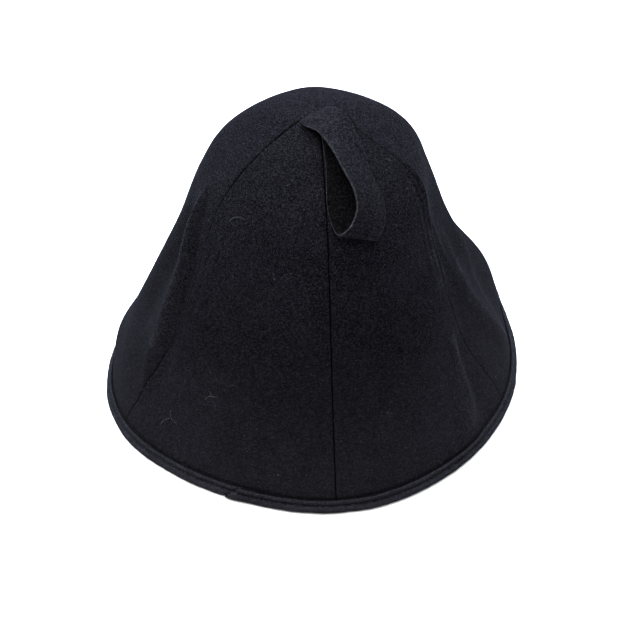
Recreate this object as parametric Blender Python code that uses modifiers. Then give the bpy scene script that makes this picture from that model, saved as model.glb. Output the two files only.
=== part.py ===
"""A six-panel felt sauna hat that stands on its rim, with an edge binding and a hanging loop.

Lengths are in metres and angles in degrees. The hat stands on z = 0. Azimuth is counted round its axis from
the front, -Y, towards +X. Slope runs down the wall, from 0 at the apex to 1 at the rim. Every piece is placed
from one surface: the outer face of the felt.
"""

import math
from collections import namedtuple

import bmesh
import bpy
from mathutils import Vector

# Felt and gaps
FELT = 0.0025
STRIP_FELT = 0.0016
LOOP_FELT = 0.0020
SEAM_GAP = 0.0004
PIECE_GAP = 0.0003
INSIDE_GAP = 0.0005

# Where the hat's axis stands: the middle of the whole hat is then above the origin
AXIS_X = 0.0050
AXIS_Y = 0.0029

# Body: one row for each of nine rings, at equal steps down the wall from the apex to the rim
Ring = namedtuple("Ring", "radius height")
PROFILE = (
    Ring(0.0000, 0.2420),
    Ring(0.0392, 0.2310),
    Ring(0.0738, 0.2065),
    Ring(0.0929, 0.1730),
    Ring(0.1073, 0.1365),
    Ring(0.1222, 0.1008),
    Ring(0.1370, 0.0656),
    Ring(0.1524, 0.0322),
    Ring(0.1682, 0.0000),
)

# Folds: the azimuth of the crest at its start and at its end, the slopes where it starts and ends, the slope
# it takes to fade in or out, its half width in degrees, and how far it stands out (+) or sinks in (-)
PAST_RIM = 1.4
Fold = namedtuple("Fold", "name upper lower start end fade half_width depth")
FOLDS = (
    Fold("left front swell", -80, -62, 0.45, PAST_RIM, 0.40, 27, 0.0142),
    Fold("left front ridge", -73, -55, 0.25, 0.88, 0.16, 5, 0.0045),
    Fold("left front valley", -62, -53, 0.30, 0.90, 0.20, 5, -0.0027),
    Fold("left flank hollow", -82, -72, 0.34, 0.82, 0.14, 7, -0.0055),
    Fold("left side bulge", -93, -84, 0.82, 0.985, 0.08, 12, 0.0036),
    Fold("left back hollow", -120, -115, 0.42, PAST_RIM, 0.25, 18, -0.0085),
    Fold("right shoulder ridge", 70, 60, 0.08, 0.62, 0.12, 8, 0.0022),
    Fold("right pinch", 84, 64, 0.20, 0.95, 0.25, 32, -0.0142),
    Fold("right near ridge", 76, 86, 0.50, 1.00, 0.18, 8, 0.0048),
    Fold("right side valley", 130, 88, 0.40, 1.00, 0.18, 9, -0.0098),
    Fold("right back bulge", 100, 123, 0.50, PAST_RIM, 0.25, 12, 0.0073),
    Fold("right far bulge", 110, 102, 0.72, 0.985, 0.12, 12, 0.0026),
    Fold("right rim pinch", 94, 90, 0.82, PAST_RIM, 0.18, 22, -0.0036),
    Fold("right lower ridge", 61, 43, 0.66, 0.99, 0.12, 5, 0.0036),
    Fold("right lower valley", 66, 55, 0.70, 0.99, 0.12, 5, -0.0030),
    Fold("front hollow", 22, 26, 0.45, 0.85, 0.20, 12, -0.0015),
    Fold("front swell", 2, 9, 0.70, PAST_RIM, 0.25, 22, 0.0030),
    Fold("back right wave", 150, 156, 0.50, PAST_RIM, 0.35, 14, 0.0050),
    Fold("back hollow", 176, 182, 0.45, PAST_RIM, 0.35, 14, -0.0050),
    Fold("back left wave", -150, -146, 0.50, PAST_RIM, 0.35, 15, 0.0055),
)

# Panels: six gores between seams, a little flatter across the crown than a circle, each seam in a shallow groove
GORES = ("gore_front_right", "gore_right", "gore_back_right", "gore_back_left", "gore_left", "gore_front_left")
FRONT_SEAM_AZIMUTH = 4.6
CROWN_FLATTENING = 0.012
CROWN_SLOPES = (0.0, 0.15, 0.45, 0.80)
SEAM_GROOVE = 0.0007
SEAM_GROOVE_WIDTH = 0.0040
PRESSED_GROOVE = 0.3
TIP_SLOPE = 0.006
GORE_ROWS = 22
GORE_COLUMNS = 14

# Binding: a strip turned over the edge of the felt, one section all the way round
BINDING_HEIGHT = 0.0115
BINDING_INSIDE_HEIGHT = 0.0085
STITCH_HEIGHT = 0.0075
STITCH_DEPTH = 0.0005
ROLL_BULGE = 0.0005
FOOT_WIDTH = 0.0036
RIM_FLARE = 0.5
JOINT_AZIMUTH = -24.5
JOINT_EDGE = 0.6
JOINT_LENGTH = 9.0
JOINT_SLANT = 3.0
JOINT_RISE = 0.0012

# Hanging loop: a row for each place along the strip, from its lower end, down the front, round the bend and back
# up to its upper end: how far its middle is across and forward of the apex and how far above the felt, how far its
# width turns from straight across and leans over, and how closely it follows the felt (1) or stays flat (0)
LOOP_WIDTH = 0.0270
LOOP_STEPS = 52
LOOP_COLUMNS = 4
Station = namedtuple("Station", "across forward lift turn lean drape")
LOOP_ROUTE = (
    Station(0.0000, 0.0000, 0.0016, 34, 0, 1.0),
    Station(0.0087, 0.0089, 0.0018, 29, 0, 1.0),
    Station(0.0144, 0.0195, 0.0017, 20, 0, 1.0),
    Station(0.0165, 0.0320, 0.0016, 13, 0, 1.0),
    Station(0.0180, 0.0454, 0.0016, 10, 0, 1.0),
    Station(0.0181, 0.0579, 0.0017, 11, 0, 1.0),
    Station(0.0193, 0.0683, 0.0022, 13, 0, 0.8),
    Station(0.0229, 0.0763, 0.0040, 15, 0, 0.3),
    Station(0.0265, 0.0771, 0.0067, 17, 3, 0.0),
    Station(0.0307, 0.0722, 0.0074, 19, 12, 0.0),
    Station(0.0328, 0.0647, 0.0081, 19, 21, 0.0),
    Station(0.0301, 0.0566, 0.0092, 22, 27, 0.0),
    Station(0.0231, 0.0465, 0.0102, 22, 28, 0.0),
    Station(0.0170, 0.0336, 0.0098, 23, 18, 0.0),
    Station(0.0097, 0.0197, 0.0086, 24, 13, 0.4),
    Station(0.0028, 0.0096, 0.0066, 28, 4, 1.0),
    Station(0.0000, 0.0000, 0.0040, 34, 0, 1.0),
)

# Finish of the felt, the binding and the loop: colour, roughness
FELT_FINISH = ((0.012, 0.012, 0.017, 1.0), 0.95)
BINDING_FINISH = ((0.014, 0.014, 0.019, 1.0), 0.95)
LOOP_FINISH = ((0.015, 0.015, 0.020, 1.0), 0.95)


def fade(value):
    """Go smoothly from 0 to 1 as value does."""
    x = min(max(value, 0.0), 1.0)
    return x * x * (3.0 - 2.0 * x)


def on_curve(rows, place, lead_in=None):
    """The columns of a smooth curve through the rows, at place 0 to 1; lead_in is a row before the first."""
    last = len(rows) - 1
    x = min(max(place, 0.0), 1.0) * last
    i = min(int(x), last - 1)
    t = x - i
    columns = []
    earlier = rows[i - 1] if i > 0 else lead_in or rows[0]
    for here, after, before, beyond in zip(rows[i], rows[i + 1], earlier, rows[min(i + 2, last)]):
        if i == 0 and lead_in is None:
            before = 2.0 * here - after
        if i == last - 1:
            beyond = 2.0 * after - here
        bend = (2.0 * before - 5.0 * here + 4.0 * after - beyond) * t * t
        twist = (3.0 * here - before - 3.0 * after + beyond) * t * t * t
        columns.append(0.5 * (2.0 * here + (after - before) * t + bend + twist))
    return columns


def angle_between(azimuth, other):
    """The signed angle from other to azimuth, from -180 to 180."""
    return (azimuth - other + 180.0) % 360.0 - 180.0


def column_step():
    """The azimuth between two columns of a panel."""
    return 360.0 / (len(GORES) * GORE_COLUMNS)


def fold_offset(slope, azimuth):
    """How far the folds move the felt outwards here."""
    total = 0.0
    for fold in FOLDS:
        along = min(max((slope - fold.start) / (min(fold.end, 1.0) - fold.start), 0.0), 1.0)
        crest = fold.upper + (fold.lower - fold.upper) * along
        strength = fade((slope - fold.start) / fold.fade) * fade((fold.end - slope) / fold.fade)
        total += fold.depth * strength * math.exp(-(angle_between(azimuth, crest) / fold.half_width) ** 2)
    return total


def crown_offset(slope, azimuth, radius):
    """The panels' middles lie a little inside a circle and the seams a little outside it, over the crown."""
    start, full, hold, end = CROWN_SLOPES
    strength = fade((slope - start) / (full - start)) * fade((end - slope) / (end - hold))
    return radius * CROWN_FLATTENING * strength * math.cos(math.radians(6.0 * (azimuth - FRONT_SEAM_AZIMUTH)))


def felt_point(slope, azimuth):
    """A point on the outer face of the felt, without the seams' grooves."""
    over_the_apex = Ring(-PROFILE[1].radius, PROFILE[1].height)
    radius, height = on_curve(PROFILE, slope, over_the_apex)
    radius += crown_offset(slope, azimuth, radius) + fold_offset(slope, azimuth)
    turn = math.radians(azimuth)
    return Vector((radius * math.sin(turn), -radius * math.cos(turn), height))


def felt_normal(slope, azimuth):
    """The outward direction of the felt here, level over the distance between two of a panel's columns."""
    step = 1.0 / GORE_ROWS
    turn = column_step()
    slope = max(slope, TIP_SLOPE)
    down = felt_point(min(slope + step, 1.0), azimuth) - felt_point(max(slope - step, TIP_SLOPE), azimuth)
    round_ = felt_point(slope, azimuth + turn) - felt_point(slope, azimuth - turn)
    return down.cross(round_).normalized()


def wall_length():
    """The length of the wall from apex to rim, along its profile."""
    return sum(math.dist(upper, lower) for upper, lower in zip(PROFILE, PROFILE[1:]))


def grooved_point(slope, azimuth, seam_distance):
    """A point on a panel: the felt sinks into a groove beside each seam, less so inside the binding."""
    above_binding = fade((1.0 - slope) * wall_length() / BINDING_HEIGHT - 1.0)
    depth = SEAM_GROOVE * (PRESSED_GROOVE + (1.0 - PRESSED_GROOVE) * above_binding)
    sinking = depth * math.exp(-(seam_distance / SEAM_GROOVE_WIDTH) ** 2)
    return felt_point(slope, azimuth) - felt_normal(slope, azimuth) * sinking


def finish_mesh(bm, name, finish, collection):
    """Make an object of the mesh in its place, with its own material, shaded smooth."""
    bmesh.ops.translate(bm, verts=bm.verts, vec=(AXIS_X, AXIS_Y, 0.0))
    mesh = bpy.data.meshes.new(name)
    bm.to_mesh(mesh)
    bm.free()
    piece = bpy.data.objects.new(name, mesh)
    collection.objects.link(piece)
    material = bpy.data.materials.new(name)
    material.use_nodes = True
    shader = material.node_tree.nodes["Principled BSDF"]
    colour, roughness = finish
    shader.inputs["Base Color"].default_value = colour
    shader.inputs["Roughness"].default_value = roughness
    shader.inputs["Metallic"].default_value = 0.0
    mesh.materials.append(material)
    mesh.shade_smooth()
    mesh.set_sharp_from_angle(angle=math.radians(40.0))
    return piece


def mapped_grid(across_steps, along_steps, place_point):
    """A grid of quads with each vertex moved to place_point(across, along), both from 0 to 1."""
    bm = bmesh.new()
    bmesh.ops.create_grid(bm, x_segments=across_steps, y_segments=along_steps, size=0.5)
    for vertex in bm.verts:
        vertex.co = place_point(vertex.co.x + 0.5, vertex.co.y + 0.5)
    return bm


def add_felt(piece, thickness, offset):
    """Thicken an open surface into felt; offset -1 puts it all behind the surface, 0 half each side."""
    solidify = piece.modifiers.new("felt", "SOLIDIFY")
    solidify.thickness = thickness
    solidify.offset = offset
    solidify.use_quality_normals = True


def build_gore(name, seam_azimuth, collection):
    """One panel, from the seam at seam_azimuth to the next seam round, apex to lower edge."""
    panel = 360.0 / len(GORES)
    lower_edge = 1.0 - (STRIP_FELT + 2.0 * PIECE_GAP + RIM_FLARE * FELT) / wall_length()
    binding_line = 1.0 - BINDING_HEIGHT / wall_length()
    open_part = 1.0 - 1.0 / GORE_ROWS

    def place(across, along):
        slope = TIP_SLOPE + (binding_line - TIP_SLOPE) * along / open_part
        if along > open_part + 0.5 / GORE_ROWS:
            slope = lower_edge
        radius = felt_point(slope, seam_azimuth + 0.5 * panel).xy.length
        clearance = math.degrees(0.5 * SEAM_GAP / radius)
        azimuth = seam_azimuth + clearance + (panel - 2.0 * clearance) * across
        to_seam = min(azimuth - seam_azimuth, seam_azimuth + panel - azimuth)
        return grooved_point(slope, azimuth, math.radians(to_seam) * radius)

    bm = mapped_grid(GORE_COLUMNS, GORE_ROWS, place)
    bmesh.ops.reverse_faces(bm, faces=bm.faces)
    piece = finish_mesh(bm, name, FELT_FINISH, collection)
    add_felt(piece, FELT, -1.0)


def joint_rise(azimuth, up):
    """How far the strip's upper end stands on its lower end, at the slanting end joint."""
    past = azimuth - JOINT_AZIMUTH - JOINT_SLANT * up / BINDING_HEIGHT
    return JOINT_RISE * fade(past / JOINT_EDGE) * fade((JOINT_LENGTH - past) / JOINT_LENGTH)


def binding_azimuths():
    """Where the strip has its sections: in line with the panels' columns, and close together at its end joint."""
    columns = len(GORES) * GORE_COLUMNS
    regular = [FRONT_SEAM_AZIMUTH + column_step() * (number - columns // 2) for number in range(columns)]
    edge = [JOINT_AZIMUTH + shift * JOINT_EDGE + slant * JOINT_SLANT for slant in (0.0, 0.5, 1.0) for shift in (0, 1)]
    return sorted(regular + edge)


def binding_section():
    """The strip's section, closed: (distance up the wall, distance outwards from the felt's outer face)."""
    outside = PIECE_GAP + STRIP_FELT
    inside = -FELT - INSIDE_GAP
    fold = STRIP_FELT
    return (
        (BINDING_HEIGHT, outside - 0.3 * STRIP_FELT),
        (0.5 * (BINDING_HEIGHT + STITCH_HEIGHT), outside),
        (STITCH_HEIGHT, outside - STITCH_DEPTH),
        (0.5 * STITCH_HEIGHT, outside + ROLL_BULGE),
        (0.15 * STITCH_HEIGHT, outside + 0.3 * ROLL_BULGE),
        (0.0, -0.5 * FELT + 0.5 * FOOT_WIDTH),
        (0.0, -0.5 * FELT - 0.5 * FOOT_WIDTH),
        (0.15 * STITCH_HEIGHT, inside - STRIP_FELT),
        (BINDING_INSIDE_HEIGHT, inside - STRIP_FELT),
        (BINDING_INSIDE_HEIGHT, inside),
        (fold, inside),
        (fold, PIECE_GAP),
        (BINDING_HEIGHT, PIECE_GAP),
    )


def build_binding(collection):
    """The strip round the rim: its section carried round the edge of the felt, flat where it stands."""
    section = binding_section()
    azimuths = binding_azimuths()

    def place(across, along):
        azimuth = azimuths[round(along * len(azimuths)) % len(azimuths)]
        up, out = section[round(across * len(section)) % len(section)]
        if out > PIECE_GAP and up > 0.0:
            out += joint_rise(azimuth, up)
        level = max(-out, 0.0) * RIM_FLARE
        slope = 1.0 - (up + level) / wall_length()
        point = felt_point(slope, azimuth) + felt_normal(slope, azimuth) * out
        if up == 0.0:
            point.z = 0.0
        return point

    bm = mapped_grid(len(section), len(azimuths), place)
    bmesh.ops.remove_doubles(bm, verts=bm.verts, dist=0.00001)
    bmesh.ops.recalc_face_normals(bm, faces=bm.faces)
    finish_mesh(bm, "edge_binding", BINDING_FINISH, collection)


def slope_at_radius(radius, azimuth):
    """The slope at which the felt is this far from the hat's axis."""
    upper, lower = 0.0, 1.0
    for _ in range(30):
        middle = 0.5 * (upper + lower)
        if felt_point(middle, azimuth).xy.length < radius:
            upper = middle
        else:
            lower = middle
    return upper


def felt_below(across, forward):
    """The point of the felt this far across and forward of the apex, and its outward direction."""
    azimuth = math.degrees(math.atan2(across, forward))
    slope = slope_at_radius(math.hypot(across, forward), azimuth)
    return felt_point(slope, azimuth), felt_normal(slope, azimuth)


def build_loop(collection):
    """The strip of the hanging loop: both ends are caught at the apex, one on the other."""

    def place(across, along):
        station = Station(*on_curve(LOOP_ROUTE, along))
        ground, normal = felt_below(station.across, station.forward)
        sideways = Vector((0.0, 1.0, 0.0)).cross(normal).normalized()
        backwards = normal.cross(sideways)
        turn = math.radians(station.turn)
        lean = math.radians(station.lean)
        flat_width = sideways * math.cos(turn) + backwards * math.sin(turn)
        width = flat_width * math.cos(lean) - normal * math.sin(lean)
        flat = ground + normal * station.lift + width * LOOP_WIDTH * (across - 0.5)
        ground, normal = felt_below(flat.x, -flat.y)
        return flat.lerp(ground + normal * station.lift, station.drape)

    bm = mapped_grid(LOOP_COLUMNS, LOOP_STEPS, place)
    piece = finish_mesh(bm, "hang_loop", LOOP_FINISH, collection)
    add_felt(piece, LOOP_FELT, 0.0)


def clear_scene():
    """Remove the objects of the scene that is open."""
    for item in list(bpy.data.objects):
        bpy.data.objects.remove(item, do_unlink=True)


def build_hat():
    """All the pieces, in a collection of their own."""
    clear_scene()
    collection = bpy.data.collections.new("sauna_hat")
    bpy.context.scene.collection.children.link(collection)
    for number, name in enumerate(GORES):
        build_gore(name, FRONT_SEAM_AZIMUTH + 360.0 / len(GORES) * number, collection)
    build_binding(collection)
    build_loop(collection)


build_hat()
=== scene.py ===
import math
from collections import namedtuple

import bpy
import numpy as np
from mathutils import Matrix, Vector, noise


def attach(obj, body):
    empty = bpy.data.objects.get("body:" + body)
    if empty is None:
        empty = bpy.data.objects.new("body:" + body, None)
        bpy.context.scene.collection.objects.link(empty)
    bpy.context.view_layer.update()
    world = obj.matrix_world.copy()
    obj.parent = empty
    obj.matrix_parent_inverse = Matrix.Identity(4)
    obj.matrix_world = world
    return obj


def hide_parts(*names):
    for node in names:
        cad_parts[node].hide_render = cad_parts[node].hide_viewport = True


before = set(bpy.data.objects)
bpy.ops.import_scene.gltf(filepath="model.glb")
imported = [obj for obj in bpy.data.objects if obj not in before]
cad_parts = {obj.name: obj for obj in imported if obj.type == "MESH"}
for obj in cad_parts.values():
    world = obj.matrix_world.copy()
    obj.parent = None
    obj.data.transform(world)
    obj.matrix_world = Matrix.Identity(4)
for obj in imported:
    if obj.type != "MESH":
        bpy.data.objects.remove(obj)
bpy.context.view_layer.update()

# Lengths are in metres and angles in degrees. Azimuth is counted round the hat's axis from the front, -Y,
# towards +X. Slope runs down the wall, from 0 at the apex to 1 at the rim.
AXIS = np.array([0.0050, 0.0029, 0.0])

# Body: the rings of the felt's outer face, at equal steps down the wall from the apex to the rim
Ring = namedtuple("Ring", "radius height")
PROFILE = (
    Ring(0.0000, 0.2420),
    Ring(0.0392, 0.2310),
    Ring(0.0738, 0.2065),
    Ring(0.0929, 0.1730),
    Ring(0.1073, 0.1365),
    Ring(0.1222, 0.1008),
    Ring(0.1370, 0.0656),
    Ring(0.1524, 0.0322),
    Ring(0.1682, 0.0000),
)
OVER_THE_APEX = Ring(-PROFILE[1].radius, PROFILE[1].height)
WALL_LENGTH = sum(math.dist(upper, lower) for upper, lower in zip(PROFILE, PROFILE[1:]))

# Folds: the azimuth of the crest at its start and at its end, the slopes where it starts and ends, the slope
# it takes to fade in or out, its half width in degrees, and how far it stands out (+) or sinks in (-)
PAST_RIM = 1.4
Fold = namedtuple("Fold", "name upper lower start end fade half_width depth")
FOLDS = (
    Fold("left front swell", -80, -62, 0.45, PAST_RIM, 0.40, 27, 0.0142),
    Fold("left front ridge", -73, -55, 0.25, 0.88, 0.16, 5, 0.0045),
    Fold("left front valley", -62, -53, 0.30, 0.90, 0.20, 5, -0.0027),
    Fold("left flank hollow", -82, -72, 0.34, 0.82, 0.14, 7, -0.0055),
    Fold("left side bulge", -93, -84, 0.82, 0.985, 0.08, 12, 0.0036),
    Fold("left back hollow", -120, -115, 0.42, PAST_RIM, 0.25, 18, -0.0085),
    Fold("right shoulder ridge", 70, 60, 0.08, 0.62, 0.12, 8, 0.0022),
    Fold("right pinch", 84, 64, 0.20, 0.95, 0.25, 32, -0.0142),
    Fold("right near ridge", 76, 86, 0.50, 1.00, 0.18, 8, 0.0048),
    Fold("right side valley", 130, 88, 0.40, 1.00, 0.18, 9, -0.0098),
    Fold("right back bulge", 100, 123, 0.50, PAST_RIM, 0.25, 12, 0.0073),
    Fold("right far bulge", 110, 102, 0.72, 0.985, 0.12, 12, 0.0026),
    Fold("right rim pinch", 94, 90, 0.82, PAST_RIM, 0.18, 22, -0.0036),
    Fold("right lower ridge", 61, 43, 0.66, 0.99, 0.12, 5, 0.0036),
    Fold("right lower valley", 66, 55, 0.70, 0.99, 0.12, 5, -0.0030),
    Fold("front hollow", 22, 26, 0.45, 0.85, 0.20, 12, -0.0015),
    Fold("front swell", 2, 9, 0.70, PAST_RIM, 0.25, 22, 0.0030),
    Fold("back right wave", 150, 156, 0.50, PAST_RIM, 0.35, 14, 0.0050),
    Fold("back hollow", 176, 182, 0.45, PAST_RIM, 0.35, 14, -0.0050),
    Fold("back left wave", -150, -146, 0.50, PAST_RIM, 0.35, 15, 0.0055),
    Fold("left rim tuck", -92, -92, 0.88, PAST_RIM, 0.10, 20, -0.0034),
    Fold("right far tuck", 110, 110, 0.90, PAST_RIM, 0.08, 14, -0.0030),
    Fold("left crest", -73, -55, 0.25, 0.88, 0.14, 2.2, 0.0023),
    Fold("left crest foot", -68, -50, 0.25, 0.88, 0.14, 2.4, -0.0018),
    Fold("left pleat by seam", -51.5, -51.5, 0.30, 0.62, 0.10, 1.2, -0.0005),
    Fold("left pleat between", -48.8, -49, 0.32, 0.60, 0.10, 1.2, 0.0004),
    Fold("left pleat in front", -46, -46, 0.30, 0.55, 0.10, 1.2, -0.0004),
    Fold("right crease by seam", 67.5, 66.5, 0.12, 0.60, 0.10, 1.7, 0.0012),
    Fold("right pleat by seam", 61.3, 60.5, 0.16, 0.60, 0.12, 1.6, -0.0008),
    Fold("right pleat in front", 57.4, 56.4, 0.22, 0.52, 0.12, 1.6, -0.0004),
    Fold("right side pleat", 72, 69, 0.32, 0.60, 0.10, 1.8, -0.0012),
    Fold("right side crease", 77, 75, 0.35, 0.62, 0.10, 2.0, 0.0010),
    Fold("right low crest", 58.5, 48, 0.66, 0.98, 0.12, 2.4, 0.0014),
    Fold("right low crease", 61.5, 53, 0.68, 0.98, 0.10, 3.0, -0.0032),
)

# Panels, in order round the hat from the front seam
GORES = (
    "gore_front_right",
    "gore_right",
    "gore_back_right",
    "gore_back_left",
    "gore_left",
    "gore_front_left",
)
PANEL = 360.0 / len(GORES)
FRONT_SEAM_AZIMUTH = 4.6
CROWN_FLATTENING = 0.012
CROWN_SLOPES = (0.0, 0.15, 0.45, 0.80)
FELT = 0.0025
SEAM_GAP = 0.00006
TIP_SLOPE = 0.004
RIM_CLEARANCE = 0.0034
GORE_ROWS = 170
GORE_COLUMNS = 72
SEAM_CROWDING = 1.8

# Seams: the felt rolls down into each seam, with a low welt beside it and puckers along it. A seam is drawn
# more or less tight over the crown, down the middle and near the rim. One drifts in azimuth as it goes down.
SEAM_DEPTH = 0.0012
SEAM_REACH = 0.0007
WELT_HEIGHT = 0.00025
WELT_PLACE = 0.0040
WELT_REACH = 0.0030
PUCKER_DEPTH = 0.00025
PUCKER_REACH = 0.0060
PUCKER_LENGTH = 0.010
PUCKER_SEED = 41.7
Seam = namedtuple("Seam", "name upper middle lower")
SEAMS = (
    Seam("front", 0.9, 0.9, 0.9),
    Seam("front right", 0.20, 0.12, 0.38),
    Seam("back right", 0.06, 0.7, 0.8),
    Seam("back", 0.12, 0.7, 0.8),
    Seam("back left", 0.06, 0.7, 0.8),
    Seam("front left", 1.2, 0.20, 0.50),
)
SEAM_SLOPES = (0.24, 0.32, 0.64, 0.74)
DRIFTING_SEAM = "front left"
DRIFT_SLOPES = (0.0, 0.50, 0.60, 0.76, 0.93, 1.0)
DRIFT = (0.0, -1.2, -0.4, -0.5, -3.4, -4.4)

# The dark line in each seam's groove, in place of its deep shadow: its width, how deep it lies, and where it
# starts
SEAM_SHADOW_WIDTH = 0.0010
SEAM_SHADOW_SINK = 0.0006
SEAM_SHADOW_ROWS = 260
SEAM_SHADOW_START = 0.02

# Unevenness of the felt: the length and the height of each set of waves, which fade out at the apex
FELT_WAVES = ((0.060, 0.00060), (0.026, 0.00028), (0.010, 0.00008))
FELT_SEED = 1.7
TIP_FADE = 0.05

# The felt is pressed in just above the strip, and its seams stand out less under it
EDGE_DEPTH = 0.0013
EDGE_REACH = 0.0017
PRESSED_RELIEF = 0.35

# How far to each side the felt's direction is levelled: in slope and in degrees
FELT_LEVEL = (0.012, 1.5)
STRIP_LEVEL = (0.03, 3.0)
LOOP_LEVEL = (1.0 / 22.0, 360.0 / 84.0)

# A distance that is past every seam's reach
FAR_FROM_SEAMS = 1.0

# Binding: a strip turned over the edge of the felt, with its end joint
STRIP_FELT = 0.0016
PIECE_GAP = 0.0003
INSIDE_GAP = 0.0005
BINDING_HEIGHT = 0.0115
BINDING_INSIDE_HEIGHT = 0.0085
STITCH_HEIGHT = 0.0075
STITCH_DEPTH = 0.0012
ROLL_BULGE = 0.0011
LIP_BULGE = 0.0007
RIM_FLARE = 0.5
BINDING_COLUMNS = 900
JOINT_AZIMUTH = -24.5
JOINT_EDGE = 0.16
JOINT_DIP = 0.0013
JOINT_DIP_WIDTH = 0.34
JOINT_LENGTH = 9.0
JOINT_SLANT = 4.0
JOINT_RISE = 0.0018
JOINT_STEP = 0.06
STRIP_WAVES = ((0.034, 0.0006), (0.012, 0.00040), (0.005, 0.00022))
STRIP_SEED = 11.0
Edge = namedtuple("Edge", "up out")

# Stitches: their spacing, how the strip pulls in at each, and the thread, which dives at both ends
STITCH_SPACING = 0.0036
STITCH_LENGTH = 0.0024
STITCH_PULL = 0.00025
STITCH_PULL_REACH = 0.0022
THREAD_RADIUS = 0.00024
THREAD_SIDES = 6
THREAD_RINGS = 5
THREAD_LIFT = 0.6
THREAD_DIVE = 1.6
THREAD_TAPER = 0.85

# Hanging loop: the strip as it is cut, its thinner edges, the band of painted highlight along a cut edge and
# its own unevenness
LOOP_WIDTH = 0.0270
LOOP_FELT = 0.0020
LOOP_ROWS = 220
LOOP_COLUMNS = 20
LOOP_TRIM = 0.0003
LOOP_EDGE_THINNING = 0.75
LOOP_HIGHLIGHT_BAND = 0.0007
LOOP_WAVES = ((0.020, 0.0003), (0.008, 0.0001))
LOOP_SEED = 5.0
# Slot of the loop's painted highlight at its cut edges
EDGE_HIGHLIGHT_SLOT = 1
# Slot of the painted shade on the loop's inner side
PAINTED_SHADE_SLOT = 2
SEARCH_STEPS = 30

# A row for each place along the loop, from its lower end, down the front, round the bend and back up to its
# upper end: how far its middle is across and forward of the apex and above the felt, how far its width turns
# from straight across and leans over, and how closely it follows the felt (1) or stays flat (0). Both ends
# are sunk in the felt at the apex, where they are sewn in.
Station = namedtuple("Station", "across forward lift turn lean drape")
LOOP_ROUTE = (
    Station(-0.0014, 0.0010, -0.0022, 34, 0, 1.0),
    Station(0.0087, 0.0089, 0.0018, 29, 0, 1.0),
    Station(0.0144, 0.0195, 0.0017, 20, 0, 1.0),
    Station(0.0165, 0.0320, 0.0016, 13, 0, 1.0),
    Station(0.0180, 0.0454, 0.0016, 10, 0, 1.0),
    Station(0.0181, 0.0579, 0.0017, 11, 0, 1.0),
    Station(0.0193, 0.0683, 0.0022, 13, 0, 0.8),
    Station(0.0229, 0.0763, 0.0040, 15, 0, 0.3),
    Station(0.0265, 0.0771, 0.0067, 17, 3, 0.0),
    Station(0.0307, 0.0722, 0.0074, 19, 12, 0.0),
    Station(0.0328, 0.0647, 0.0081, 19, 21, 0.0),
    Station(0.0301, 0.0566, 0.0092, 22, 27, 0.0),
    Station(0.0231, 0.0465, 0.0102, 22, 28, 0.0),
    Station(0.0170, 0.0336, 0.0098, 23, 18, 0.0),
    Station(0.0097, 0.0197, 0.0086, 24, 13, 0.4),
    Station(0.0022, 0.0098, 0.0056, 28, 4, 1.0),
    Station(-0.0014, 0.0010, -0.0006, 34, 0, 1.0),
)

# Camera: a long lens that looks down at the hat from the front
CAMERA_ELEVATION = 47.0
CAMERA_DISTANCE = 0.969
CAMERA_AIM = Vector((0.0063, 0.0029, 0.0284))
FRAME_PIXELS = 640.0
FOCAL_PIXELS = 1167.5
SENSOR = 36.0
CLIP_START = 0.01

# Lights: soft lamps round the hat, an even light from above and a dim surround
Lamp = namedtuple("Lamp", "name place size power color")
WHITE = (1.0, 0.99, 0.98)
COOL = (0.69, 0.82, 1.0)
BLUE = (0.30, 0.50, 1.0)
PALE = (0.86, 0.88, 1.0)
LAMPS = (
    Lamp("overhead_light", (0.0, 0.2, 2.0), 2.0, 22.0, WHITE),
    Lamp("back_light", (0.0, 1.3, 1.6), 1.4, 81.0, COOL),
    Lamp("left_top_light", (-1.2, 0.2, 1.6), 1.0, 34.0, WHITE),
    Lamp("left_back_light", (-1.4, 1.2, 0.9), 1.2, 13.0, BLUE),
    Lamp("right_back_light", (1.4, 1.2, 0.9), 1.0, 42.0, PALE),
)
SKY_STRENGTH = 3.87
SKY_WIDTH = 62.0
SURROUND_STRENGTH = 0.149
SURROUND_COLOUR = (0.97, 0.98, 1.0, 1.0)
LIGHT_AIM = Vector((0.0, 0.0, 0.08))

# Floor: half its side, and its finish
FLOOR_HALF = 6.0
FLOOR_COLOUR = (0.88, 0.88, 0.88, 1.0)
FLOOR_ROUGHNESS = 0.9
FLOOR_GLOSS = 0.1

# Felt finishes: the dark and the light of the wool, and how strong the bump is. Each one's sheen is faint and
# bluish, and none has a specular layer.
Felt = namedtuple("Felt", "name dark light bump")
FELTS = (
    Felt("wool_felt", (0.0016, 0.0016, 0.0021), (0.0150, 0.0144, 0.0180), 0.80),
    # Painted light: the strip's felt is paler than the body's, for the light the white floor throws onto the
    # rim
    Felt("strip_felt", (0.0028, 0.0028, 0.0036), (0.0255, 0.0250, 0.0315), 0.80),
    Felt("loop_felt", (0.0022, 0.0022, 0.0029), (0.0215, 0.0215, 0.0265), 0.70),
    # Painted shade: the loop's inner side is darker, for the shadow its other layer casts on it
    Felt("loop_inner_painted_shade", (0.0008, 0.0008, 0.0010), (0.0105, 0.0102, 0.0120), 0.70),
    # Painted highlight: the loop's cut edges are paler, for the light their edge fibres catch
    Felt("loop_edge_painted_highlight", (0.0080, 0.0080, 0.0096), (0.0560, 0.0560, 0.0640), 0.80),
)
FELT_ROUGHNESS = (0.83, 1.0)
BUMP_DISTANCE = 0.0008
SHEEN_WEIGHT = 0.012
SHEEN_ROUGHNESS = 0.30
SHEEN_TINT = (0.85, 0.92, 1.0, 1.0)

# The wool's patterns in the felt: waves per metre, from the finest to the broadest
GRAIN_SCALE = 640.0
TANGLE_SCALE = 380.0
MOTTLE_SCALE = 60.0
BROAD_SCALE = 14.0
UPRIGHT_STRETCH = 1.4

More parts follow.
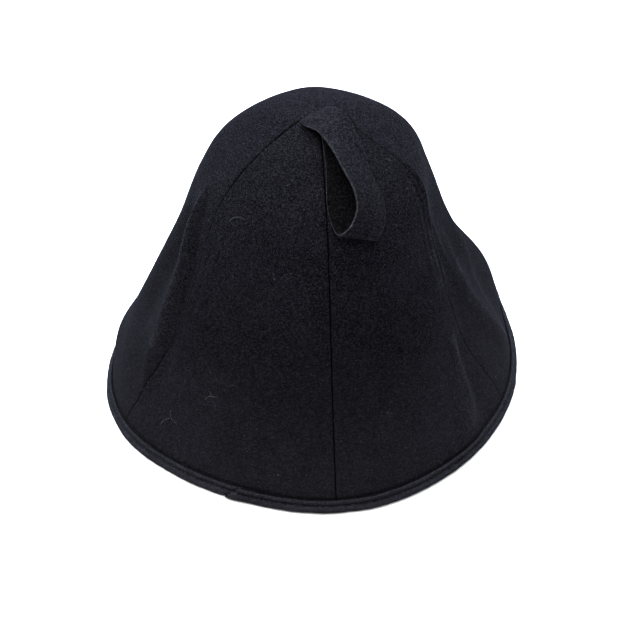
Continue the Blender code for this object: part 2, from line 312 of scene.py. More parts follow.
# Pale points of lint in the felt: points per metre, the patches that thin them out, their colour and strength
POINT_SCALE = 210.0
POINT_PATCH_SCALE = 55.0
POINT_COLOUR = (0.30, 0.30, 0.34, 1.0)
POINT_STRENGTH = 0.20

# Painted light: the lower part of the hat is a little paler, for the light the white floor throws up onto it,
# from the first height down to the second
PAINTED_BOUNCE_HEIGHTS = (0.110, 0.020)
PAINTED_BOUNCE = 0.20

# Plain finishes of threads and fibres, and the near-black finish of the painted shadow in the seams
Plain = namedtuple("Plain", "name colour roughness gloss")
PLAINS = (
    Plain("thread", (0.008, 0.008, 0.010), 0.6, 0.2),
    # Painted shadow: near black, for the deep shade in each seam's groove
    Plain("seam_shadow_paint", (0.0010, 0.0010, 0.0012), 0.9, 0.0),
    Plain("fuzz_wool", (0.014, 0.014, 0.0175), 0.9, 0.1),
    # Painted highlight: the crown's fibres are paler and bluer, for the cool light that falls on the top
    Plain("crown_painted_highlight", (0.034, 0.0345, 0.049), 0.9, 0.1),
    # Painted highlight: the crests' fibres are paler, for the light that catches the crests of the folds
    Plain("crest_painted_highlight", (0.027, 0.028, 0.037), 0.9, 0.1),
    Plain("lint_wool", (0.055, 0.055, 0.060), 0.9, 0.2),
)
PLAIN_SCALE = 900.0
PLAIN_DARK = 0.6

# Loose fibres: how many, their length, width, lift and curl, and the slope at which they have thinned out
Fibres = namedtuple("Fibres", "name count shortest longest width lift curl reach")
# The crown's fibres wear the paler, bluer finish of painted highlight on the top
CROWN_FUZZ = (
    Fibres("crown_fuzz_short", 30500, 0.0005, 0.0012, 0.00017, 0.38, 0.5, 0.62),
    Fibres("crown_fuzz_low", 22000, 0.0008, 0.0017, 0.00014, 0.20, 0.8, 0.62),
)
FUZZ = (
    Fibres("felt_fuzz_low", 29500, 0.0007, 0.0017, 0.00013, 0.24, 0.8, 1.4),
    Fibres("felt_fuzz_long", 9000, 0.0014, 0.0034, 0.00007, 0.18, 0.9, 1.4),
)
LINT = Fibres("pale_lint", 320, 0.0010, 0.0036, 0.00018, 0.08, 1.8, 1.4)

# Paler fibres along the crests of folds, a painted highlight where the crests catch the light, whose count is
# that of its crests: for each crest how many fibres, how far they spread to each side at its upper and lower
# end, and the slopes and azimuths that it runs through
CREST_HIGHLIGHT_FUZZ = Fibres("crest_highlight_fuzz", 0, 0.0005, 0.0012, 0.00015, 0.35, 0.5, 1.4)
Crest = namedtuple("Crest", "name count upper lower route")
CRESTS = (
    Crest("left ridge", 3800, 0.0052, 0.0026, (
        (0.33, -78), (0.39, -70), (0.45, -66.4), (0.51, -64.4),
        (0.56, -63), (0.62, -61.8), (0.67, -60.5), (0.71, -60),
    )),
    Crest("right near crest", 2400, 0.0032, 0.0020, (
        (0.60, 84), (0.66, 82), (0.725, 83), (0.786, 83.8), (0.832, 83.7), (0.932, 87.5),
    )),
    Crest("right upper band", 900, 0.0028, 0.0022, ((0.40, 65), (0.49, 63), (0.57, 60.8))),
    Crest("right side band", 1100, 0.0030, 0.0024, ((0.50, 87), (0.59, 85), (0.63, 82))),
    Crest("right lower ridge", 1700, 0.0046, 0.0046, (
        (0.70, 58), (0.74, 56.5), (0.78, 52.8), (0.826, 49.5), (0.88, 48.5), (0.92, 48),
    )),
)

# How fibres are spread and shaped: the slopes they grow on, how quickly they thin out there, how clear they
# stay of the seams, how many steps one has, how deep it is rooted, and how it tapers, bends and falls
FIBRE_SEED = 7
FIBRE_START = 0.01
FIBRE_END = 0.96
FIBRE_PLACES = 200
THINNING = 0.35
SEAM_CLEARANCE = 0.0008
FIBRE_STEPS = 3
FIBRE_ROOT = 0.0001
FIBRE_TAPER = 0.7
FIBRE_BEND = 0.5
FIBRE_FALL = 0.25

# The loose hairs and specks that stand out: the middle's place, the length, the way it runs in degrees down
# from straight across, and how far it turns along its length in radians
Lint = namedtuple("Lint", "slope azimuth length heading curl")
LINTS = (
    Lint(0.345, -60.2, 0.0022, 20, 0.6),
    Lint(0.281, -34.2, 0.0020, 80, 0.8),
    Lint(0.313, -38.2, 0.0018, 40, 0.8),
    Lint(0.317, -46.8, 0.0150, -38, 1.5),
    Lint(0.174, 58.0, 0.0034, 60, 1.5),
    Lint(0.250, 55.5, 0.0026, 35, 2.0),
    Lint(0.291, 44.5, 0.0022, -30, 1.0),
    Lint(0.425, 81.0, 0.0024, 50, 1.2),
    Lint(0.307, 40.2, 0.0028, 70, 2.4),
    Lint(0.613, 95.2, 0.0026, 60, 1.0),
    Lint(0.457, 61.2, 0.0036, 20, 1.8),
    Lint(0.462, 59.6, 0.0022, 80, 1.0),
    Lint(0.086, 62.0, 0.0024, 30, 1.4),
    Lint(0.220, 1.0, 0.0022, 75, 0.8),
    Lint(0.218, 31.8, 0.0020, 15, 1.2),
    Lint(0.826, -45.8, 0.0130, 55, -1.9),
    Lint(0.762, -36.8, 0.0115, -35, 1.3),
    Lint(0.731, -36.2, 0.0055, 45, 0.2),
    Lint(0.854, -45.2, 0.0110, 125, -0.9),
    Lint(0.697, -69.2, 0.0024, 60, 1.0),
    Lint(0.693, 76.8, 0.0030, 70, 1.2),
)
LINT_STEPS = 9
LINT_WIDTH = 0.00018
LINT_LIFT = 0.0002


def fade(value):
    """Go smoothly from 0 to 1 as value does."""
    x = np.clip(value, 0.0, 1.0)
    return x * x * (3.0 - 2.0 * x)


def on_curve(rows, place, lead_in=None):
    """The columns of a smooth curve through the rows, at each place from 0 to 1."""
    points = np.array(rows, float)
    last = len(points) - 1
    before_first = 2.0 * points[0] - points[1] if lead_in is None else np.array(lead_in, float)
    points = np.vstack([before_first, points, 2.0 * points[last] - points[last - 1]])
    x = np.clip(np.asarray(place, float), 0.0, 1.0) * last
    i = np.minimum(x.astype(int), last - 1)
    t = (x - i)[..., None]
    before, here, after, beyond = (points[i + k] for k in range(4))
    bend = (2.0 * before - 5.0 * here + 4.0 * after - beyond) * t * t
    twist = (3.0 * here - before - 3.0 * after + beyond) * t * t * t
    return 0.5 * (2.0 * here + (after - before) * t + bend + twist)


def angle_between(azimuth, other):
    """The signed angle from other to azimuth, from -180 to 180."""
    return (azimuth - other + 180.0) % 360.0 - 180.0


def fold_offset(slope, azimuth):
    """How far the folds move the felt outwards here."""
    total = 0.0
    for fold in FOLDS:
        along = np.clip((slope - fold.start) / (min(fold.end, 1.0) - fold.start), 0.0, 1.0)
        crest = fold.upper + (fold.lower - fold.upper) * along
        strength = fade((slope - fold.start) / fold.fade) * fade((fold.end - slope) / fold.fade)
        across = angle_between(azimuth, crest) / fold.half_width
        total = total + fold.depth * strength * np.exp(-across ** 2)
    return total


def crown_offset(slope, azimuth, radius):
    """The panels' middles lie a little inside a circle and the seams a little outside it, over the crown."""
    start, full, hold, end = CROWN_SLOPES
    strength = fade((slope - start) / (full - start)) * fade((end - slope) / (end - hold))
    turn = np.radians(len(GORES) * (azimuth - FRONT_SEAM_AZIMUTH))
    return radius * CROWN_FLATTENING * strength * np.cos(turn)


def felt_point(slope, azimuth):
    """Points on the outer face of the felt, without seams, with the apex over the origin."""
    slope, azimuth = np.broadcast_arrays(np.asarray(slope, float), np.asarray(azimuth, float))
    radius, height = np.moveaxis(on_curve(PROFILE, slope, OVER_THE_APEX), -1, 0)
    radius = radius + crown_offset(slope, azimuth, radius) + fold_offset(slope, azimuth)
    turn = np.radians(azimuth)
    return np.stack([radius * np.sin(turn), -radius * np.cos(turn), height], -1)


def unit(vectors):
    """The vectors at length 1."""
    return vectors / np.maximum(np.linalg.norm(vectors, axis=-1, keepdims=True), 1e-12)


def felt_normal(slope, azimuth, level=FELT_LEVEL):
    """The outward direction of the felt, levelled over a short distance."""
    step, turn = level
    slope = np.maximum(slope, TIP_SLOPE)
    below = felt_point(np.minimum(slope + step, 1.0), azimuth)
    above = felt_point(np.maximum(slope - step, TIP_SLOPE), azimuth)
    sideways = felt_point(slope, azimuth + turn) - felt_point(slope, azimuth - turn)
    return unit(np.cross(below - above, sideways))


def waves(points, lengths_and_heights, seed):
    """A gentle unevenness at each point: a sum of smooth noise, each of its own length and height."""
    shape = points.shape[:-1]
    flat = points.reshape(-1, 3)
    total = np.zeros(len(flat))
    for number, (length, height) in enumerate(lengths_and_heights):
        shift = Vector((seed, 7.3 * number, 3.1 * seed))
        total += height * np.array([noise.noise(Vector(point) / length + shift) for point in flat])
    return total.reshape(shape)


def new_mesh(name, points, faces, material):
    """A mesh object in the row's frame, shaded smooth, that rides on the hat."""
    mesh = bpy.data.meshes.new(name)
    mesh.from_pydata((points + AXIS).tolist(), [], faces)
    mesh.update()
    mesh.shade_smooth()
    mesh.materials.append(material)
    piece = bpy.data.objects.new(name, mesh)
    bpy.context.scene.collection.objects.link(piece)
    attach(piece, "root")
    return piece


def grid_faces(rows, columns, closed_rows=False, closed_columns=False, start=0):
    """The quads of a grid of points, rows by columns, that may close on itself either way."""
    faces = []
    for row in range(rows if closed_rows else rows - 1):
        here = start + row * columns
        after = start + (row + 1) % rows * columns
        for column in range(columns if closed_columns else columns - 1):
            beside = (column + 1) % columns
            faces.append((here + column, after + column, after + beside, here + beside))
    return faces


def add_ribbon(points, faces, middle, half):
    """Add a flat ribbon along a middle line, half its width to each side."""
    start = len(points)
    points += [point for pair in zip(middle - half, middle + half) for point in pair]
    faces += grid_faces(len(middle), 2, start=start)


def seam_azimuth(number, slope):
    """Where a seam, counted round from the front one, lies at each slope."""
    azimuth = FRONT_SEAM_AZIMUTH + PANEL * number + 0.0 * slope
    if SEAMS[number % len(SEAMS)].name == DRIFTING_SEAM:
        azimuth = azimuth + np.interp(slope, DRIFT_SLOPES, DRIFT)
    return azimuth


def seam_strength(number, slope):
    """How tightly one seam is drawn in at each slope."""
    seam = SEAMS[number % len(SEAMS)]
    return np.interp(slope, SEAM_SLOPES, (seam.upper, seam.middle, seam.middle, seam.lower))


def seam_relief(number, slope, distance):
    """The groove and the welt of one seam, at each distance from it."""
    strength = seam_strength(number, slope)
    groove = -SEAM_DEPTH * np.exp(-(distance / SEAM_REACH) ** 2)
    return strength * (groove + WELT_HEIGHT * np.exp(-((distance - WELT_PLACE) / WELT_REACH) ** 2))


def felt_wall(slope, azimuth, relief, to_seam):
    """Outer points of a panel: rolled down at its seams, puckered along them and gently uneven."""
    point = felt_point(slope, azimuth)
    normal = felt_normal(slope, azimuth)
    near_tip = fade(slope / TIP_FADE)
    above_binding = fade((1.0 - slope) * WALL_LENGTH / BINDING_HEIGHT - 1.0)
    pucker = waves(point, ((PUCKER_LENGTH, PUCKER_DEPTH),), PUCKER_SEED)
    uneven = pucker * np.exp(-(to_seam / PUCKER_REACH) ** 2) + waves(point, FELT_WAVES, FELT_SEED) * near_tip
    above_edge = (1.0 - slope) * WALL_LENGTH - BINDING_HEIGHT
    pressed = -EDGE_DEPTH * np.exp(-(above_edge / EDGE_REACH) ** 2)
    share = PRESSED_RELIEF + (1.0 - PRESSED_RELIEF) * above_binding
    height = relief * share + uneven * above_binding + pressed
    return point + normal * height[..., None], normal


def build_gore(name, number, material):
    """One panel of felt, with its two faces, its rolled seam edges and its lower edge in the binding."""
    lower_edge = 1.0 - RIM_CLEARANCE / WALL_LENGTH
    along = np.linspace(0.0, 1.0, GORE_ROWS)[:, None]
    across = np.linspace(-1.0, 1.0, GORE_COLUMNS)[None, :]
    across = 0.5 + 0.5 * np.sign(across) * (1.0 - (1.0 - np.abs(across)) ** SEAM_CROWDING)
    slope = TIP_SLOPE + (lower_edge - TIP_SLOPE) * along + 0.0 * across
    first = seam_azimuth(number, slope)
    last = seam_azimuth(number + 1, slope)
    radius = np.linalg.norm(felt_point(slope, 0.5 * (first + last))[..., :2], axis=-1)
    clearance = np.degrees(0.5 * SEAM_GAP / radius)
    azimuth = first + clearance + (last - first - 2.0 * clearance) * across
    to_first = np.radians(azimuth - first) * radius
    to_last = np.radians(last - azimuth) * radius
    relief = seam_relief(number, slope, to_first) + seam_relief(number + 1, slope, to_last)
    outer, normal = felt_wall(slope, azimuth, relief, np.minimum(to_first, to_last))
    inner = felt_point(slope, azimuth) - normal * FELT
    count = GORE_ROWS * GORE_COLUMNS
    faces = grid_faces(GORE_ROWS, GORE_COLUMNS)
    faces += [tuple(count + corner for corner in reversed(face)) for face in faces]
    border = list(range(GORE_COLUMNS))
    border += [row * GORE_COLUMNS + GORE_COLUMNS - 1 for row in range(1, GORE_ROWS)]
    border += [(GORE_ROWS - 1) * GORE_COLUMNS + column for column in range(GORE_COLUMNS - 2, -1, -1)]
    border += [row * GORE_COLUMNS for row in range(GORE_ROWS - 2, 0, -1)]
    for here, after in zip(border, border[1:] + border[:1]):
        faces.append((here, after, count + after, count + here))
    points = np.vstack([outer.reshape(-1, 3), inner.reshape(-1, 3)])
    piece = new_mesh(name.replace("gore", "felt"), points, faces, material)
    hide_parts(name)
    return piece


def build_seam_shadow_lines(material):
    """The painted shadow in each seam's groove: a dark line from near the apex down to the binding."""
    slope = np.linspace(SEAM_SHADOW_START, 1.0 - BINDING_HEIGHT / WALL_LENGTH, SEAM_SHADOW_ROWS)
    points = []
    faces = []
    for number in range(len(GORES)):
        azimuth = seam_azimuth(number, slope)
        strength = seam_strength(number, slope)
        middle, normal = felt_wall(slope, azimuth, -SEAM_SHADOW_SINK * strength, 0.0)
        side = np.cross(normal, unit(np.gradient(middle, axis=0)))
        half = (0.5 * SEAM_SHADOW_WIDTH * np.minimum(strength, 1.0))[:, None] * side
        add_ribbon(points, faces, middle, half)
    piece = new_mesh("seam_shadow_lines", np.array(points), faces, material)
    return piece


def joint_rise(azimuth, up):
    """How far the strip's upper end stands on its lower end, at the slanting end joint."""
    past = azimuth - JOINT_AZIMUTH - JOINT_SLANT * up / BINDING_HEIGHT
    dip = -JOINT_DIP * np.exp(-((past + JOINT_DIP_WIDTH) / JOINT_DIP_WIDTH) ** 2)
    return dip + JOINT_RISE * fade(past / JOINT_EDGE) * fade((JOINT_LENGTH - past) / JOINT_LENGTH)


def binding_section():
    """The strip's rounded section: distance up the wall, distance outwards from the felt's outer face."""
    outside = PIECE_GAP + STRIP_FELT
    inside = -FELT - INSIDE_GAP
    round_edge = 0.5 * STRIP_FELT
    rows = []
    for angle in np.linspace(0.0, 90.0, 5):
        turn = math.radians(angle)
        rows.append(Edge(
            BINDING_HEIGHT - round_edge * (1.0 - math.cos(turn)),
            outside - round_edge * (1.0 - math.sin(turn)),
        ))
    rows += [
        Edge(0.5 * (BINDING_HEIGHT + STITCH_HEIGHT), outside + LIP_BULGE),
        Edge(STITCH_HEIGHT + 0.0009, outside - 0.3 * STITCH_DEPTH),
        Edge(STITCH_HEIGHT + 0.0004, outside - 0.85 * STITCH_DEPTH),
        Edge(STITCH_HEIGHT, outside - STITCH_DEPTH),
        Edge(STITCH_HEIGHT - 0.0005, outside - 0.8 * STITCH_DEPTH),
        Edge(STITCH_HEIGHT - 0.0013, outside + 0.2 * ROLL_BULGE),
        Edge(STITCH_HEIGHT - 0.0025, outside + 0.85 * ROLL_BULGE),
        Edge(0.48 * STITCH_HEIGHT, outside + ROLL_BULGE),
        Edge(0.30 * STITCH_HEIGHT, outside + 0.75 * ROLL_BULGE),
        Edge(0.16 * STITCH_HEIGHT, outside + 0.1 * ROLL_BULGE),
        Edge(0.07 * STITCH_HEIGHT, outside - 0.45 * STRIP_FELT),
        Edge(0.02 * STITCH_HEIGHT, outside - 1.0 * STRIP_FELT),
        Edge(0.0, -0.25 * FELT),
        Edge(0.0, -0.75 * FELT),
        Edge(0.0, inside),
        Edge(0.03 * STITCH_HEIGHT, inside - 0.6 * STRIP_FELT),
        Edge(0.12 * STITCH_HEIGHT, inside - STRIP_FELT),
        Edge(0.50 * STITCH_HEIGHT, inside - STRIP_FELT - 0.4 * ROLL_BULGE),
        Edge(BINDING_INSIDE_HEIGHT - 0.0012, inside - STRIP_FELT + 0.2 * STITCH_DEPTH),
        Edge(BINDING_INSIDE_HEIGHT, inside - 0.5 * STRIP_FELT),
        Edge(BINDING_INSIDE_HEIGHT - 0.0004, inside),
        Edge(0.5 * BINDING_INSIDE_HEIGHT, inside),
        Edge(STRIP_FELT, inside),
        Edge(STRIP_FELT, PIECE_GAP),
        Edge(0.5 * BINDING_HEIGHT, PIECE_GAP),
        Edge(BINDING_HEIGHT - 0.0010, PIECE_GAP),
        Edge(BINDING_HEIGHT - 0.0003, PIECE_GAP + 0.2 * STRIP_FELT),
    ]
    return np.array(rows)


def binding_points(azimuth, up, out):
    """Points of the strip: up the wall from the rim and out from the felt, level under the inside."""
    level = np.maximum(-out, 0.0) * RIM_FLARE
    slope = 1.0 - (up + level) / WALL_LENGTH
    normal = felt_normal(slope, azimuth, STRIP_LEVEL)
    return felt_point(slope, azimuth) + normal * out[..., None], normal


def binding_azimuths():
    """Even steps round the rim, with more sections at the strip's end joint."""
    even = np.linspace(-180.0, 180.0, BINDING_COLUMNS, endpoint=False)
    joint = np.arange(JOINT_AZIMUTH - 1.0, JOINT_AZIMUTH + JOINT_SLANT + JOINT_EDGE + 0.1, JOINT_STEP)
    return np.unique(np.round(np.concatenate([even, joint]), 3))


def strip_unevenness(azimuth, up):
    """How the sewn strip pulls in at each stitch and waves between them."""
    around = math.radians(1.0) * PROFILE[-1].radius
    near_stitch = np.exp(-((up - STITCH_HEIGHT) / STITCH_PULL_REACH) ** 2)
    stitch = np.cos(2.0 * math.pi * azimuth * around / STITCH_SPACING)
    return STITCH_PULL * stitch * near_stitch


def build_binding(material):
    """The strip round the rim, sewn along its upper part, with its overlapped end joint."""
    section = binding_section()
    around = binding_azimuths()
    azimuth = around[:, None] + 0.0 * section[None, :, 0]
    up = section[None, :, 0] + 0.0 * azimuth
    out = section[None, :, 1] + 0.0 * azimuth
    outer_side = (out > PIECE_GAP) & (up > 0.0)
    out = out + np.where(outer_side, joint_rise(azimuth, up) + strip_unevenness(azimuth, up), 0.0)
    points, normal = binding_points(azimuth, up, out)
    swell = waves(points, STRIP_WAVES, STRIP_SEED)
    points = points + normal * np.where(outer_side, swell, 0.0)[..., None]
    points[..., 2] = np.maximum(points[..., 2], 0.0)
    points[..., 2] = np.where(up > 0.0, points[..., 2], 0.0)
    faces = grid_faces(len(points), len(section), closed_rows=True, closed_columns=True)
    piece = new_mesh("rim_strip", points.reshape(-1, 3), faces, material)
    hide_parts("edge_binding")
    return piece


def build_stitches(material):
    """The row of machine stitches that lies in the strip's groove."""
    around = 2.0 * math.pi * PROFILE[-1].radius
    count = int(around / STITCH_SPACING)
    half = math.degrees(0.5 * STITCH_LENGTH / PROFILE[-1].radius)
    points = []
    faces = []
    depth = PIECE_GAP + STRIP_FELT - STITCH_DEPTH + THREAD_LIFT * THREAD_RADIUS
    for number in range(count):
        middle = -180.0 + 360.0 * number / count
        place = np.linspace(-1.0, 1.0, THREAD_RINGS)
        azimuth = middle + half * place
        up = STITCH_HEIGHT + 0.0 * place
        sink = THREAD_RADIUS * THREAD_DIVE * np.abs(place) ** 3
        centre, normal = binding_points(azimuth, up, depth + joint_rise(azimuth, up) - sink)
        tangent = unit(np.gradient(centre, axis=0))
        side = np.cross(normal, tangent)
        radius = THREAD_RADIUS * np.sqrt(1.0 - THREAD_TAPER * place ** 2)
        start = len(points)
        for ring in range(THREAD_RINGS):
            for corner in range(THREAD_SIDES):
                turn = 2.0 * math.pi * corner / THREAD_SIDES
                outwards = side[ring] * math.cos(turn) + normal[ring] * math.sin(turn)
                points.append(centre[ring] + radius[ring] * outwards)
        faces += grid_faces(THREAD_RINGS, THREAD_SIDES, closed_columns=True, start=start)
    piece = new_mesh("rim_stitches", np.array(points), faces, material)
    return piece


def slope_below(across, forward):
    """The slope and azimuth of the felt under each place in the plan."""
    azimuth = np.degrees(np.arctan2(across, forward))
    radius = np.hypot(across, forward)
    upper = np.zeros_like(radius)
    lower = np.ones_like(radius)
    for _ in range(SEARCH_STEPS):
        middle = 0.5 * (upper + lower)
        inside = np.linalg.norm(felt_point(middle, azimuth)[..., :2], axis=-1) < radius
        upper = np.where(inside, middle, upper)
        lower = np.where(inside, lower, middle)
    return upper, azimuth


def felt_below(across, forward):
    """The points of the felt at these places in the plan, and their outward directions."""
    slope, azimuth = slope_below(across, forward)
    return felt_point(slope, azimuth), felt_normal(slope, azimuth, LOOP_LEVEL)


def loop_surface(along, offset):
    """The middle surface of the strip: along it from 0 to 1, and offset across it in metres."""
    values = on_curve(LOOP_ROUTE, along)
    across, forward, lift, turn, lean, drape = np.moveaxis(values, -1, 0)
    ground, normal = felt_below(across, forward)
    sideways = unit(np.cross(np.array([0.0, 1.0, 0.0]), normal))
    backwards = np.cross(normal, sideways)
    turn = np.radians(turn)[..., None]
    lean = np.radians(lean)[..., None]
    flat_width = sideways * np.cos(turn) + backwards * np.sin(turn)
    width = flat_width * np.cos(lean) - normal * np.sin(lean)
    flat = ground + normal * lift[..., None] + width * offset[..., None]
    ground, normal = felt_below(flat[..., 0], -flat[..., 1])
    draped = ground + normal * lift[..., None]
    return flat + (draped - flat) * drape[..., None]


def build_loop(material, highlight_material, shaded_inner_material):
    """The felt strip of the hanging loop, with a painted highlight along its cut edges and painted shade on
    its inner side.
    """
    along = np.linspace(0.0, 1.0, LOOP_ROWS)[:, None]
    turn = np.linspace(-0.5 * math.pi, 0.5 * math.pi, LOOP_COLUMNS)[None, :]
    offset = 0.5 * np.sin(turn) * (LOOP_WIDTH - LOOP_TRIM)
    along, offset = np.broadcast_arrays(along, offset)
    middle = loop_surface(along, offset)
    normal = unit(np.cross(np.gradient(middle, axis=1), np.gradient(middle, axis=0)))
    middle = middle + normal * waves(middle, LOOP_WAVES, LOOP_SEED)[..., None]
    edge = np.clip((0.5 * LOOP_WIDTH - np.abs(offset)) / (0.5 * LOOP_FELT), 0.0, 1.0)
    half = 0.5 * LOOP_FELT * np.sqrt(1.0 - LOOP_EDGE_THINNING * (1.0 - edge) ** 2)[..., None]
    top = middle + normal * half
    bottom = middle - normal * half
    section = np.concatenate([top, bottom[:, ::-1]], axis=1)
    columns = section.shape[1]
    faces = grid_faces(LOOP_ROWS, columns, closed_columns=True)
    last = (LOOP_ROWS - 1) * columns
    for column in range(LOOP_COLUMNS - 1):
        mirror = columns - 1 - column
        faces.append((column, column + 1, mirror - 1, mirror))
        faces.append((last + column + 1, last + column, last + mirror, last + mirror - 1))
    piece = new_mesh("felt_loop", section.reshape(-1, 3), faces, material)
    piece.data.materials.append(highlight_material)
    piece.data.materials.append(shaded_inner_material)
    # The painted highlight lies along a band at both cut edges
    highlit_edge = np.abs(offset[0]) > 0.5 * LOOP_WIDTH - LOOP_HIGHLIGHT_BAND
    near_highlit_edge = np.concatenate([highlit_edge, highlit_edge[::-1]])
    # The side that faces inwards gets the painted shade
    top_is_inner = normal[LOOP_ROWS // 5, LOOP_COLUMNS // 2, 2] > 0.0
    for face in piece.data.polygons:
        column = [corner % columns for corner in face.vertices]
        if all(near_highlit_edge[place] for place in column):
            face.material_index = EDGE_HIGHLIGHT_SLOT
        elif top_is_inner == (max(column) < LOOP_COLUMNS):
            face.material_index = PAINTED_SHADE_SLOT
    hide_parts("hang_loop")
    return piece


def add_node(tree, kind, **values):
    """A shader node with its properties and its inputs set by name."""
    node = tree.nodes.new(kind)
    for name, value in values.items():
        if name in node.inputs:
            node.inputs[name].default_value = value
        else:
            setattr(node, name, value)
    return node


def add_noise(tree, place, scale, detail, roughness=0.6, distortion=0.0):
    """Smooth noise at a scale in waves per metre."""
    node = add_node(tree, "ShaderNodeTexNoise", Scale=scale, Detail=detail)
    node.inputs["Roughness"].default_value = roughness
    node.inputs["Distortion"].default_value = distortion
    tree.links.new(place, node.inputs["Vector"])
    return node.outputs["Fac"]


def add_range(tree, value, low, high, to_low=0.0, to_high=1.0):
    """The value, spread from low..high to to_low..to_high."""
    node = add_node(tree, "ShaderNodeMapRange")
    tree.links.new(value, node.inputs["Value"])
    for socket, number in (("From Min", low), ("From Max", high), ("To Min", to_low), ("To Max", to_high)):
        node.inputs[socket].default_value = number
    return node.outputs["Result"]


def add_math(tree, operation, first, second):
    """An arithmetic node on a value and a value or number."""
    node = add_node(tree, "ShaderNodeMath", operation=operation)
    for socket, value in zip(node.inputs, (first, second)):
        if isinstance(value, float):
            socket.default_value = value
        else:
            tree.links.new(value, socket)
    return node.outputs["Value"]


def add_layers(tree, layers):
    """The sum of several patterns, each spread from its low..high to 0..1 and weighed by its share."""
    total = None
    for value, low, high, share in layers:
        layer = add_math(tree, "MULTIPLY", add_range(tree, value, low, high), share)
        total = layer if total is None else add_math(tree, "ADD", total, layer)
    return total


def add_points(tree, place):
    """Pale points of lint that come in loose patches."""
    cells = add_node(tree, "ShaderNodeTexVoronoi", Scale=POINT_SCALE, Randomness=1.0)
    tree.links.new(place, cells.inputs["Vector"])
    patches = add_range(tree, add_noise(tree, place, POINT_PATCH_SCALE, 2.0), 0.56, 0.70)
    return add_math(tree, "MULTIPLY", add_range(tree, cells.outputs["Distance"], 0.12, 0.04), patches)


def build_felt_material(felt):
    """Pressed wool felt: mottled dark wool, tangled fibres, pale points of lint and a faint bluish sheen."""
    material = bpy.data.materials.new(felt.name)
    material.use_nodes = True
    tree = material.node_tree
    shader = tree.nodes["Principled BSDF"]
    place = add_node(tree, "ShaderNodeTexCoord").outputs["Object"]
    flat = add_node(tree, "ShaderNodeMapping", Scale=(1.0, 1.0, UPRIGHT_STRETCH))
    tree.links.new(place, flat.inputs["Vector"])
    grain = add_noise(tree, flat.outputs["Vector"], GRAIN_SCALE, 2.0, 0.65)
    tangle = add_noise(tree, flat.outputs["Vector"], TANGLE_SCALE, 2.0, 0.7, 1.5)
    tone = add_layers(tree, (
        (grain, 0.45, 0.72, 0.60),
        (tangle, 0.45, 0.70, 0.22),
        (add_noise(tree, place, MOTTLE_SCALE, 3.0), 0.40, 0.68, 0.06),
        (add_noise(tree, place, BROAD_SCALE, 2.0), 0.35, 0.65, 0.06),
    ))
    split = add_node(tree, "ShaderNodeSeparateXYZ")
    tree.links.new(place, split.inputs["Vector"])
    # Painted light: paler towards the rim, for the light the floor throws up
    painted_bounce = add_math(tree, "MULTIPLY", add_range(tree, split.outputs["Z"], *PAINTED_BOUNCE_HEIGHTS), PAINTED_BOUNCE)
    colour = add_node(tree, "ShaderNodeMix", data_type="RGBA")
    tree.links.new(add_math(tree, "ADD", tone, painted_bounce), colour.inputs["Factor"])
    colour.inputs["A"].default_value = (*felt.dark, 1.0)
    colour.inputs["B"].default_value = (*felt.light, 1.0)
    linted = add_node(tree, "ShaderNodeMix", data_type="RGBA")
    strength = add_math(tree, "MULTIPLY", add_points(tree, place), POINT_STRENGTH)
    tree.links.new(strength, linted.inputs["Factor"])
    tree.links.new(colour.outputs["Result"], linted.inputs["A"])
    linted.inputs["B"].default_value = POINT_COLOUR
    tree.links.new(linted.outputs["Result"], shader.inputs["Base Color"])
    raised = add_math(tree, "MULTIPLY", tangle, 0.6)
    height = add_math(tree, "ADD", raised, add_math(tree, "MULTIPLY", grain, 0.4))
    bump = add_node(tree, "ShaderNodeBump", Strength=felt.bump, Distance=BUMP_DISTANCE)
    tree.links.new(height, bump.inputs["Height"])
    tree.links.new(bump.outputs["Normal"], shader.inputs["Normal"])
    tree.links.new(add_range(tree, grain, 0.2, 0.8, *FELT_ROUGHNESS), shader.inputs["Roughness"])
    shader.inputs["Specular IOR Level"].default_value = 0.0
    shader.inputs["Sheen Weight"].default_value = SHEEN_WEIGHT
    shader.inputs["Sheen Roughness"].default_value = SHEEN_ROUGHNESS
    shader.inputs["Sheen Tint"].default_value = SHEEN_TINT
    return material


def build_plain_material(plain):
    """A matt surface with a faint unevenness of tone."""
    material = bpy.data.materials.new(plain.name)
    material.use_nodes = True
    tree = material.node_tree
    shader = tree.nodes["Principled BSDF"]
    place = add_node(tree, "ShaderNodeTexCoord").outputs["Object"]
    tone = add_range(tree, add_noise(tree, place, PLAIN_SCALE, 2.0), 0.3, 0.7, 0.8, 1.0)
    scaled = add_node(tree, "ShaderNodeMix", data_type="RGBA")
    tree.links.new(tone, scaled.inputs["Factor"])
    scaled.inputs["A"].default_value = (*(PLAIN_DARK * part for part in plain.colour), 1.0)
    scaled.inputs["B"].default_value = (*plain.colour, 1.0)
    tree.links.new(scaled.outputs["Result"], shader.inputs["Base Color"])
    shader.inputs["Roughness"].default_value = plain.roughness
    shader.inputs["Specular IOR Level"].default_value = plain.gloss
    return material


